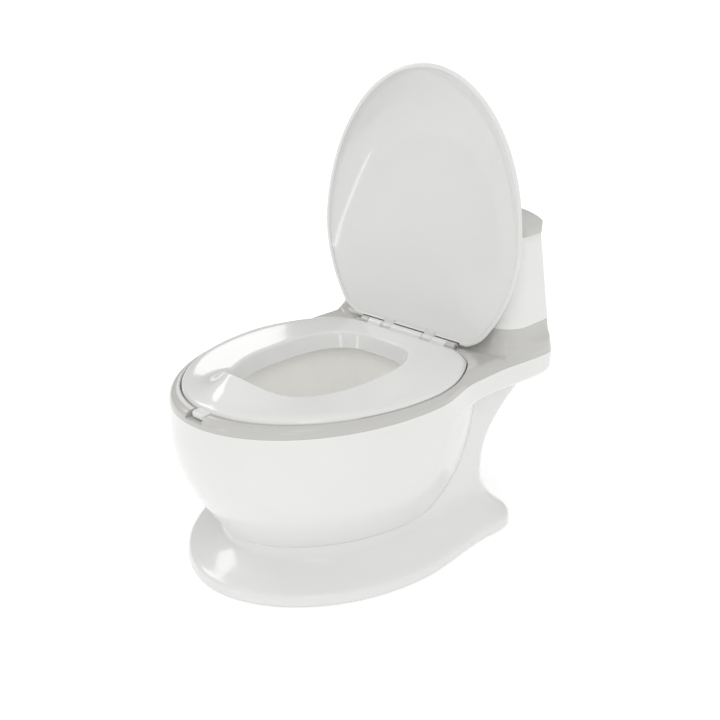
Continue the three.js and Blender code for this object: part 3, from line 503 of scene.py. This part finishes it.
def pedestal_loops(inset):
    rim = outline(rim_half, -10.0)
    neck = outline(lambda y: neck_half(y, 31.0), -10.0)
    loops = []
    for z in FLARE_LEVELS:
        share = float(curve(FLARE, z))
        edge = 0.6 * max(0.0, 2.2 - z) if inset == 0 else 0.0
        low = z - inset * 0.5 if z > FLARE_LEVELS[0] else RIM_LOW
        loops.append(offset(neck + (rim - neck) * share, -inset - edge, low))
    for z in NECK_LEVELS:
        loops.append(offset(outline(lambda y: neck_half(y, z), -10.0), -inset, z))
    return loops


def build_pedestal():
    obj = loft("pedestal_skin", pedestal_loops(0.0) + pedestal_loops(WALL)[::-1], closed=True, sharp=50)
    room = loft("room", shell_loops(SEAM), sharp=50)
    cut(obj, room)
    for x, y in FOOT_SPOTS:
        boss = turned("boss", [(9.4, 3.7), (10, 4.4), (10, 10)], x, y, 40)
        joined(obj, boss)
    return finish_piece(obj, "chair", WHITE, "pedestal")


# ------------------------------------------------------------------ deck
def deck_walls():
    loops = []
    for z in (DECK_LOW, 180, 183, 185.5, 188, 192, 198, 206, DECK_TOP):
        loops.append(outline(lambda y: deck_half(y, z - DECK_LOW), -10.0, z))
    return loft("deck_skin", loops)


# Inset, and height above the deck's lower edge, up the rounded outer edge of the ring.
RING_ROUNDING = [
    (0.15, -0.2), (0, 0.1), (0, 1.2), (0, 2.6), (0.05, 4.0), (0.3, 5.2),
    (0.8, 6.4), (1.5, 7.5), (2.5, 8.5), (3.6, 9.2), (4.8, 9.6), (6.0, 9.7),
]


def deck_ring():
    loops = [offset(outline(lambda y: body_half(y, 0), -10.0), -3.7, DECK_TONGUE)]
    loops.append(at_height(loops[0], DECK_LOW))
    for inset, rise in RING_ROUNDING:
        loop = outline(lambda y: deck_half(y, max(0.0, rise)), -10.0)
        loops.append(offset(loop, -inset, DECK_LOW + rise))
    return loft("deck_flat", loops)


def tank_riser():
    loops = []
    for degrees in range(0, 91, 9):
        angle = math.radians(degrees)
        z = DECK_RING - 1 + (DECK_TOP - DECK_RING + 1) * (1 - math.cos(angle)) ** 0.9
        loops.append(rounded_box(TANK_LOW, SCOOP * (1 - math.sin(angle)), z))
    loops.insert(0, at_height(loops[0], DECK_LOW))
    return loft("riser", loops)


def plug(name, half_width, middle, low, high, chamfer=0.0):
    loop = outline(half_width, middle)
    loops = [at_height(loop, low), at_height(loop, high - chamfer)]
    if chamfer:
        loops.append(offset(loop, chamfer * 0.5, high - chamfer * 0.3))
        loops.append(offset(loop, chamfer, high))
        loops.append(offset(loop, chamfer, high + 20))
    return loft(name, loops)


def build_deck():
    walls = deck_walls()
    riser = combine(tank_riser(), walls, "INTERSECT")
    obj = joined(deck_ring(), riser)
    obj.name = "deck_skin"
    wide = lambda y: seat_half(y, 1.3, 103.0, 21.0, 92.0)
    cut(
        obj,
        plug("recess", wide, HOLE_MIDDLE, DECK_LEDGE, DECK_RING, 0.7),
        plug("ledge", lambda y: bowl_half(y, -0.5), HOLE_MIDDLE, 177.2, 220),
        plug("hole", lambda y: bowl_half(y, 5.0), HOLE_MIDDLE, 170, 220),
        rod("trough", 7.3, -67.2, 67.2, HINGE_Y, HINGE_Z, edge=0.1),
        loft("hollow", [rounded_box(TANK_LOW, -4, 170), rounded_box(TANK_LOW, -4, 210)]),
        block("notch", (-11.5, 11.5), (-200, -150), (DECK_LEDGE + 2, DECK_RING + 5), 2.0),
    )
    for x0, x1 in (POST_SPAN, mirrored(POST_SPAN)):
        foot = block("foot", (x0, x1), (HINGE_Y - 3.5, HINGE_Y + BARREL), (DECK_LEDGE - 2, HINGE_Z), 0.8)
        joined(obj, rod("post", BARREL, x0, x1, HINGE_Y, HINGE_Z), foot)
    cut(obj, rod("bore", BORE, -80, 80, HINGE_Y, HINGE_Z, edge=0.01))
    return finish_piece(obj, "chair", GREY, "deck")


# ------------------------------------------------------------------ tank
def cover_bore(x):
    """Room for one of the tank cover's hinge pins."""
    return rod("bore", COVER_PIN_BORE, x - 15, x + 15, COVER_HINGE_Y, COVER_HINGE_Z, 28, 0.01)


def cover_bearing(x):
    """One of the tank's barrels for a cover pin, with the web and strut that hold it."""
    span = (x - 2, x + 2)
    web_heights = (COVER_HINGE_Z - 11, COVER_HINGE_Z - 1)
    return (
        rod("barrel", COVER_BARREL, *span, COVER_HINGE_Y, COVER_HINGE_Z, 28, 0.2),
        block("web", span, (COVER_HINGE_Y - 6.2, COVER_HINGE_Y), web_heights),
        block("strut", span, (COVER_HINGE_Y - 1, COVER_HINGE_Y + 2.6), (COVER_HINGE_Z - 9, COVER_HINGE_Z)),
    )


def build_tank():
    outer = [
        rounded_box(tank_shape(TANK_LOW_Z), -0.2, TANK_LOW_Z - 0.18),
        rounded_box(tank_shape(TANK_LOW_Z), 0, TANK_LOW_Z + 0.2),
        rounded_box(tank_shape(TANK_LOW_Z), 0, TANK_LOW_Z + 1.4),
    ]
    for z in np.linspace(222, TANK_TOP_Z - 0.8, 10):
        outer.append(rounded_box(tank_shape(z), 0, z))
    outer.append(rounded_box(tank_shape(TANK_TOP_Z), -0.6, TANK_TOP_Z))
    inner = [rounded_box(tank_shape(z), -WALL, z) for z in (TANK_TOP_Z, 280, 250, 217.3)]
    obj = loft("tank_skin", outer + inner)
    for side in (-1, 1):
        for end in (-8, 8):
            joined(obj, *cover_bearing(side * COVER_X + end))
        cut(obj, cover_bore(side * COVER_X))
    for x, y in TANK_SCREW_SPOTS:
        joined(obj, turned("boss", [(4.5, 216), (4.5, 225.3), (4, 225.8)], x, y, 32))
    return finish_piece(obj, "chair", WHITE, "tank")


# ------------------------------------------------------------------ tank cover
def crown_height(x, y, drop=0.0):
    half, front, rear = TANK_HIGH[:3]
    u = np.minimum(1, np.abs(x) / (half + 1))
    v = np.minimum(1, np.abs(y - (front + rear) / 2) / ((rear - front) / 2 + 1))
    along = np.sqrt(1 - u**8) * (1 - 0.22 * u * u)
    across = (1 - v**3.5) ** 0.6
    inwards = np.minimum(1, np.minimum((1 - u) * (half + 1), (1 - v) * ((rear - front) / 2 + 1)) / 6)
    shoulder = 5.0 * (1 - np.sqrt(1 - (1 - inwards) ** 2))
    return TANK_TOP_Z + LID_EDGE + LID_CROWN * along * across - shoulder - drop


def crown_loops(grow, drop, shares):
    edge = rounded_box(TANK_HIGH, grow, 0)
    middle = np.array([0, (TANK_HIGH[1] + TANK_HIGH[2]) / 2, 0])
    loops = []
    for share in shares:
        moved = middle + (edge - middle) * share
        keep = 0.35 + 0.65 * (1 - share)
        moved[:, 0] = edge[:, 0] + (moved[:, 0] - edge[:, 0]) * keep
        moved[:, 2] = crown_height(moved[:, 0], moved[:, 1], drop)
        loops.append(moved)
    return loops


def build_tank_cover():
    low = TANK_TOP_Z + GAP
    shares = (0.998, 0.992, 0.983, 0.97, 0.95, 0.92, 0.88, 0.82, 0.74, 0.64, 0.52, 0.38, 0.22, 0.08)
    outer = [
        rounded_box(TANK_HIGH, 0.4, low),
        rounded_box(TANK_HIGH, 0.9, low + 0.5),
        rounded_box(TANK_HIGH, 1, low + 1.2),
        rounded_box(TANK_HIGH, 1, low + 3.4),
        *crown_loops(0.95, 0, shares),
    ]
    inner = [
        rounded_box(TANK_HIGH, -2.5, low),
        rounded_box(TANK_HIGH, -2.5, low + 2.0),
        *crown_loops(-2.5, LID_THICK, shares[2:]),
    ]
    obj = loft("tank_cover_skin", inner[::-1] + outer)
    for side in (-1, 1):
        x = side * COVER_X
        joined(
            obj,
            rod("knuckle", COVER_BARREL, x - 5.7, x + 5.7, COVER_HINGE_Y, COVER_HINGE_Z, 28, 0.2),
            block("web", (x - 5.7, x + 5.7), (COVER_HINGE_Y - 5.2, COVER_HINGE_Y), (low, low + 2.2)),
            turned("peg", [(3.2, 315.3), (3.2, 331)], side * 69.5, BUTTON_Y, 28),
        )
        cut(obj, cover_bore(x))
        cut(obj, turned("hole", [(1.3, 311), (1.3, 325)], side * 69.5, BUTTON_Y, 20))
    top = float(crown_height(0.0, BUTTON_Y))
    joined(obj, turned("well", [(15.5, top - 14), (15.5, top - 1)], 0, BUTTON_Y))
    cut(
        obj,
        turned("well_room", [(13.4, top - 8), (13.4, top + 3)], 0, BUTTON_Y),
        turned("stem_room", [(3.9, top - 30), (3.9, top + 3)], 0, BUTTON_Y, 32),
        turned("bezel_room", [(16.8, top - 2.8), (16.8, top + 5)], 0, BUTTON_Y),
    )
    return finish_piece(obj, "tank_cover", GREY, "tank_lid")


def build_button():
    top = float(crown_height(0.0, BUTTON_Y))
    stem = [(3.5, 315.3), (3.5, top - 3.2)]
    rim = [(12.4, -3.2), (13, -2.6), (13, 0.2), (12.8, 0.8), (12.3, 1.35), (11.4, 1.65)]
    dish = [(9.5, 1.6), (6.5, 1.4), (2, 1.25)]
    profile = stem + [(r, top + z) for r, z in rim + dish]
    cap = turned("flush_button_cap", profile, 0, BUTTON_Y)
    under = turned("under", [(7.5, top - 4.8), (7.5, top - 1.8)], 0, BUTTON_Y, 48)
    core = turned("core", [(4.2, top - 6), (4.2, top - 1)], 0, BUTTON_Y, 48)
    cut(under, core)
    cut(cap, under)
    finish_piece(cap, "button", SEAT_WHITE, "flush_button")
    outer = [(13.5, -2.4), (16.5, -2.4), (16.5, 0.2), (16.3, 0.7), (15.8, 1.05)]
    inner = [(15.2, 1.2), (14.4, 0.95), (13.8, 0.65), (13.5, 0.3)]
    sides = 72
    angle = 2 * np.pi * np.arange(sides) / sides
    across, along = np.cos(angle), np.sin(angle)
    loops = []
    for r, z in outer + inner:
        loops.append(np.stack([r * across, BUTTON_Y + r * along, np.full(sides, top + z)], 1))
    bezel = loft("button_bezel_ring", loops, closed=True, sharp=60)
    finish_piece(bezel, "tank_cover", CHROME, "button_bezel")


# ------------------------------------------------------------------ seat
SEAT_RISE = [(0, 0), (0.035, 2.1), (0.1, 3.3), (0.3, 4.2), (0.62, 4.7), (0.86, 4.9), (1, 5)]
SEAT_SHARES = (0, 0.006, 0.014, 0.024, 0.038, 0.06, 0.1, 0.16, 0.24, 0.34, 0.46, 0.58, 0.7, 0.8, 0.88, 0.94)


def crest_at(x, y):
    bell = 21.5 * np.cos(np.pi * x / 112) ** 2
    return np.where((y > HOLE_MIDDLE) | (np.abs(x) >= 56), 0, bell)


def seat_loops():
    edge = outline(seat_half, HOLE_MIDDLE, SEAT_EDGE)
    hole = outline(lambda y: hole_half(y, 68, 98, 105.5), HOLE_MIDDLE, SEAT_TOP)
    funnel = outline(lambda y: hole_half(y, 61.5, 91, 100.5), HOLE_MIDDLE, 176.0)
    skirt = offset(funnel, 2.5)
    inner = offset(edge, -2.6)
    crest = crest_at(hole[:, 0], hole[:, 1])

    def top(share, rise, drop=0.0):
        loop = edge + (hole - edge) * share
        loop[:, 2] = SEAT_EDGE + rise + crest * share**1.7 - drop
        return loop

    loops = [offset(edge, -0.5, SEAT_BOTTOM), at_height(edge, SEAT_BOTTOM + 0.6)]
    loops += [top(s, float(curve(SEAT_RISE, s))) for s in SEAT_SHARES]
    before, corner = top(0.945, 4.95), top(1.0, 5.0)
    after = corner + (funnel - corner) * (3.4 / (17.5 + crest))[:, None]
    for t in (0.15, 0.32, 0.5, 0.68, 0.85, 1.0):
        loops.append(before * (1 - t) ** 2 + corner * 2 * t * (1 - t) + after * t * t)
    for t in (0.3, 0.6, 0.94):
        loops.append(after + (funnel - after) * t)
    loops.append(offset(funnel, 0.7, 176.0))
    loops.append(offset(skirt, -0.5, 176.0))
    loops.append(at_height(skirt, 176.8))
    for share, rise in ((0.93, 4.9), (0.78, 4.8), (0.62, 4.7), (0.46, 4.5), (0.3, 4.2), (0.12, 3.3)):
        loops.append(top(share, rise, 2.8))
    loops.append(at_height(inner, SEAT_EDGE - 1.6))
    loops.append(at_height(inner, SEAT_BOTTOM))
    return loops


def tab_loop(z, inset):
    shape = np.array([9 - inset, -180.2 + inset, -167, 4, 1])
    return rounded_box(shape, 0, z, 6, (4, 2))


def build_seat():
    obj = loft("seat_ring_skin", seat_loops(), closed=True, sharp=50)
    spans = (CENTRE_SPAN, OUTER_SPAN, mirrored(OUTER_SPAN))
    for span in spans:
        web = block("web", span, (97, HINGE_Y), (185.2, 190.4), 0.8)
        joined(obj, rod("barrel", BARREL, *span, HINGE_Y, HINGE_Z), web)
    tab_profile = [(183.4, 0.4), (184, 0), (187, 0), (188.3, 0.5), (188.9, 1.6)]
    joined(obj, loft("tab", [tab_loop(z, inset) for z, inset in tab_profile]))
    for x, y in BUMPER_SPOTS:
        joined(obj, turned("stalk", [(4, 183.2), (4, 192)], x, y, 28))
    cut(obj, rod("bore", BORE, -70, 70, HINGE_Y, HINGE_Z, edge=0.01))
    for x0, x1 in (KNUCKLE_SPAN, mirrored(KNUCKLE_SPAN)):
        cut(obj, block("room", (x0 - 0.4, x1 + 0.4), (99, 120), (180, 200)))
    return finish_piece(obj, "seat_ring", SEAT_WHITE, "seat")


# ------------------------------------------------------------------ lid
def lid_rise(y, share):
    dome = 31.5 - 20 * smooth((y + 140) / 220)
    return dome * (1 - share**5)


def lid_row(edge, share, base):
    middle = np.array([0, LID_MIDDLE, 0])
    row = middle + (edge - middle) * share
    row[:, 2] = base + lid_rise(row[:, 1], share)
    return row


def build_lid():
    edge = outline(lambda y: seat_half(y, 3.8, 105.4, 13.0, 89.0), LID_MIDDLE)
    shares = (0.03, 0.12, 0.24, 0.36, 0.48, 0.58, 0.67, 0.75, 0.82, 0.87, 0.91, 0.94, 0.965)
    loops = [lid_row(edge, s, LID_RIM + LID_SKIN) for s in (*shares, 0.985, 0.994)]
    loops += [at_height(edge, LID_RIM + 1.6), at_height(edge, LID_RIM + 0.6), offset(edge, -0.6, LID_RIM)]
    loops += [offset(edge, 0.6 - LID_LIP, LID_RIM), offset(edge, -LID_LIP, LID_RIM + 0.6)]
    loops.append(offset(edge, -LID_LIP - 0.2, LID_RIM + 2))
    loops += [lid_row(edge, s, LID_RIM) for s in (0.952, *shares[:12][::-1])]
    obj = loft("lid_panel_skin", loops, sharp=50)
    cut(obj, block("rear_room", (-69.7, 69.7), (102.7, 130), (180, 240), 1.0))
    for span in (KNUCKLE_SPAN, mirrored(KNUCKLE_SPAN)):
        web = block("web", span, (99.3, HINGE_Y), (LID_RIM - 1.2, LID_RIM + 2.6), 0.8)
        joined(obj, web, rod("knuckle", BARREL, *span, HINGE_Y, HINGE_Z))
    cut(obj, rod("bore", BORE, -70, 70, HINGE_Y, HINGE_Z, edge=0.01))
    turn_open(obj)
    return finish_piece(obj, "lid_panel", SEAT_WHITE, "lid")


def turn_open(obj):
    """Turns a piece made shut to the lid's open angle about the seat hinge."""
    angle = math.radians(-LID_OPEN)
    pivot = np.array([0.0, (HINGE_Y - CENTRE_Y) * MM, HINGE_Z * MM])
    points = np.zeros(len(obj.data.vertices) * 3)
    obj.data.vertices.foreach_get("co", points)
    points = points.reshape(-1, 3) - pivot
    y, z = points[:, 1].copy(), points[:, 2].copy()
    points[:, 1] = y * math.cos(angle) - z * math.sin(angle)
    points[:, 2] = y * math.sin(angle) + z * math.cos(angle)
    obj.data.vertices.foreach_set("co", (points + pivot).ravel())
    obj.data.update()
    set_shading(obj, 50)


# ------------------------------------------------------------------ potty bowl
BOWL_WALL = [(72, 44), (75, 36), (86, 26), (112, 15.5), (145, 10), (177.5, 5.5)]


def build_bowl():
    top = DECK_LEDGE - GAP
    row = lambda z, inset: outline(lambda y: bowl_half(y, inset), HOLE_MIDDLE, z)
    levels = (72, 72.6, 73.6, 75, 78, 82, 88, 96, 106, 118, 130, 145, 160, 170, top - 2.2)
    outer = [row(z, float(curve(BOWL_WALL, z))) for z in levels]
    inner = [row(z + (2.2 if z < 80 else 0.8), float(curve(BOWL_WALL, z)) + 2.1) for z in levels][::-1]
    flange_profile = [(-2.2, 0.4), (-1.8, 0.2), (-0.4, 0.2), (0, 0.6), (0, 6.4), (-0.5, 7.2)]
    flange = [row(top + z, inset) for z, inset in flange_profile]
    obj = loft("potty_bowl_skin", outer + flange + inner, sharp=50)
    return finish_piece(obj, "chair", BOWL_WHITE, "potty_bowl")


build_shell()
build_pedestal()
build_deck()
build_tank()
build_tank_cover()
build_button()
build_seat()
build_lid()
build_bowl()

# ------------------------------------------------------------------ stage and light
floor_size = 90.0
floor_mesh = bpy.data.meshes.new("floor")
floor_corners = [(x * floor_size, y * floor_size, 0) for x, y in ((-1, -1), (1, -1), (1, 1), (-1, 1))]
floor_mesh.from_pydata(floor_corners, [], [(0, 1, 2, 3)])
floor = bpy.data.objects.new("floor", floor_mesh)
bpy.context.scene.collection.objects.link(floor)
floor_material = bpy.data.materials.new("floor_paper")
floor_material.use_nodes = True
floor_shader = floor_material.node_tree.nodes["Principled BSDF"]
floor_shader.inputs["Base Color"].default_value = (0.92, 0.92, 0.92, 1)
floor_shader.inputs["Roughness"].default_value = 0.9
floor_shader.inputs["Emission Color"].default_value = (1, 1, 1, 1)
floor_shader.inputs["Emission Strength"].default_value = 0.2
floor_shader.inputs["Specular IOR Level"].default_value = 0.0
floor_mesh.materials.append(floor_material)

world = bpy.data.worlds.new("studio")
bpy.context.scene.world = world
world.use_nodes = True
sky = world.node_tree
facing = node(sky, "ShaderNodeTexCoord")
toward = node(sky, "ShaderNodeVectorMath", operation="DOT_PRODUCT")
toward.inputs[1].default_value = (0.55, -0.25, 0.8)
sky.links.new(facing.outputs["Generated"], toward.inputs[0])
shade = node(sky, "ShaderNodeMapRange", interpolation_type="SMOOTHSTEP")
shade.inputs["From Min"].default_value = -0.65
shade.inputs["From Max"].default_value = 0.75
shade.inputs["To Min"].default_value = 0.36
shade.inputs["To Max"].default_value = 1.05
sky.links.new(toward.outputs["Value"], shade.inputs["Value"])
sky.links.new(shade.outputs["Result"], sky.nodes["Background"].inputs["Strength"])
sky.nodes["Background"].inputs["Color"].default_value = (1, 1, 1, 1)

LIGHT_AIM = Vector((0, 0, 0.2))


def softbox(name, direction, distance, width, height, power):
    """Rectangular light that looks at the middle of the chair."""
    data = bpy.data.lights.new(name, "AREA")
    data.shape = "RECTANGLE"
    data.size = width
    data.size_y = height
    data.energy = power
    light = bpy.data.objects.new(name, data)
    bpy.context.scene.collection.objects.link(light)
    away = Vector(direction).normalized()
    light.location = LIGHT_AIM + away * distance
    light.rotation_euler = away.to_track_quat("Z", "Y").to_euler()
    return light


softbox("key", (-0.8, -0.32, 0.66), 1.6, 0.5, 0.6, 3)
softbox("left_strip", (-0.75, 0.5, 0.36), 1.8, 0.35, 0.5, 0.8)
softbox("front_strip", (-0.14, -1.0, 0.12), 2.0, 0.12, 0.8, 1.2)
softbox("side", (0.7, -0.68, 0.36), 2.2, 0.3, 0.4, 0.8)
softbox("top", (0.5, -0.35, 0.8), 1.8, 0.4, 0.8, 1.2)

view = bpy.context.scene.view_settings
view.view_transform = "Standard"
view.look = "None"
